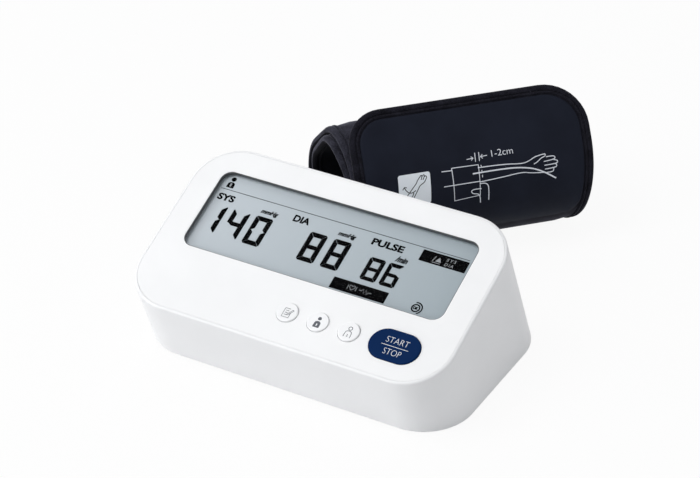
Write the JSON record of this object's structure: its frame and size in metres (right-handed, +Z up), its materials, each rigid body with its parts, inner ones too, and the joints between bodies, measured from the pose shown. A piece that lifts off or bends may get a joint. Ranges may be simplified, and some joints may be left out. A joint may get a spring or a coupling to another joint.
{
  "type": "blood pressure monitor",
  "caption": "Table-top blood pressure monitor with a sloping display, press keys, a base with a sliding battery cover, and a rolled upper-arm cuff with a hinged flap.",
  "frame": {"origin": "on the table, under the middle of the box round monitor and cuff", "axes": "+X to the right along the monitor's width as the user reads it, +Y away from the user, +Z up"},
  "size_m": [0.1942, 0.2808, 0.0919],
  "materials": {
    "case_white": "satin white moulded plastic",
    "panel_white": "smooth white moulded plastic",
    "base_white": "fine textured white plastic",
    "foot_rubber": "grey rubber",
    "screw_steel": "zinc plated",
    "lens_clear": "clear acrylic",
    "lcd_grey": "grey-blue liquid crystal display",
    "holder_black": "black moulded plastic",
    "strip_rubber": "pink silicone with carbon layers",
    "board_green": "solder mask",
    "chip_black": "black epoxy",
    "mat_silicone": "translucent grey silicone",
    "key_blue": "dark blue, satin gloss",
    "key_white": "white, satin gloss",
    "cell_sleeve": "shrink sleeve",
    "contact_nickel": "nickel plated spring steel",
    "lead_red": "insulated wire",
    "pump_black": "glass filled plastic",
    "motor_steel": "drawn steel can",
    "saddle_rubber": "foam rubber",
    "valve_steel": "steel yoke",
    "hose_silicone": "silicone tube",
    "jack_grey": "grey moulded plastic",
    "cuff_print": "dark blue-black coated nylon, satin",
    "cuff_felt": "brushed loop felt",
    "cuff_tape": "woven edge tape",
    "curler_sheet": "preformed plastic sheet",
    "bladder_sheet": "polyurethane bag",
    "hook_tape": "hook fastener",
    "tag_grey": "printed grey label",
    "gland_rubber": "moulded grey rubber"
  },
  "bodies": {
    "monitor": {"upper_case": "case_white", "front_panel": "panel_white", "lower_case": "base_white", "rubber_feet": "foot_rubber", "case_screws": "screw_steel", "display_lens": "lens_clear", "lcd_glass": "lcd_grey", "lcd_holder": "holder_black", "elastomer_strip": "strip_rubber", "main_board": "board_green", "board_components": "chip_black", "board_screws": "screw_steel", "buzzer": "chip_black", "key_mat": "mat_silicone", "battery_cells": "cell_sleeve", "battery_contacts": "contact_nickel", "battery_leads": "lead_red", "pump_head": "pump_black", "pump_motor": "motor_steel", "pump_saddle": "saddle_rubber", "release_valve": "valve_steel", "air_manifold": "holder_black", "pressure_sensor": "chip_black", "air_hoses": "hose_silicone", "air_jack": "jack_grey", "dc_jack": "holder_black"},
    "start_stop_key": {"start_stop_key": "key_blue"},
    "memory_key": {"memory_key": "key_white"},
    "user_one_key": {"user_one_key": "key_white"},
    "user_two_key": {"user_two_key": "key_white"},
    "battery_cover": {"battery_cover": "base_white"},
    "cuff": {"cuff_cover": "cuff_print", "cuff_curler": "curler_sheet", "cuff_bladder": "bladder_sheet", "cuff_binding": "cuff_tape", "cuff_lining": "cuff_felt", "care_tag": "tag_grey", "tube_gland": "gland_rubber"},
    "cuff_flap": {"cuff_flap": "cuff_print", "flap_binding": "cuff_tape", "hook_pad": "hook_tape"}
  },
  "joints": [
    {"name": "start_stop_key_press", "type": "slide", "parent": "monitor", "child": "start_stop_key", "axis": [0, 0.3827, -0.9239], "range_m": [0, 0.0006], "stiffness_N_per_m": 1500, "springref_m": -0.0004},
    {"name": "memory_key_press", "type": "slide", "parent": "monitor", "child": "memory_key", "axis": [0, 0.3827, -0.9239], "range_m": [0, 0.0006], "stiffness_N_per_m": 1000, "springref_m": -0.0004},
    {"name": "user_one_key_press", "type": "slide", "parent": "monitor", "child": "user_one_key", "axis": [0, 0.3827, -0.9239], "range_m": [0, 0.0006], "stiffness_N_per_m": 1000, "springref_m": -0.0004},
    {"name": "user_two_key_press", "type": "slide", "parent": "monitor", "child": "user_two_key", "axis": [0, 0.3827, -0.9239], "range_m": [0, 0.0006], "stiffness_N_per_m": 1000, "springref_m": -0.0004},
    {"name": "battery_cover_slide", "type": "slide", "parent": "monitor", "child": "battery_cover", "axis": [0, 1, 0], "range_m": [0, 0.01]},
    {"name": "cuff_lift", "type": "slide", "parent": "monitor", "child": "cuff", "axis": [0, 0, 1], "range_m": [0, 0.12]},
    {"name": "cuff_flap_open", "type": "hinge", "parent": "cuff", "child": "cuff_flap", "pos_m": [-0.02306, -0.00954, 0.0649], "axis": [0.7071, 0.7071, 0], "range_deg": [0, 35]}
  ]
}
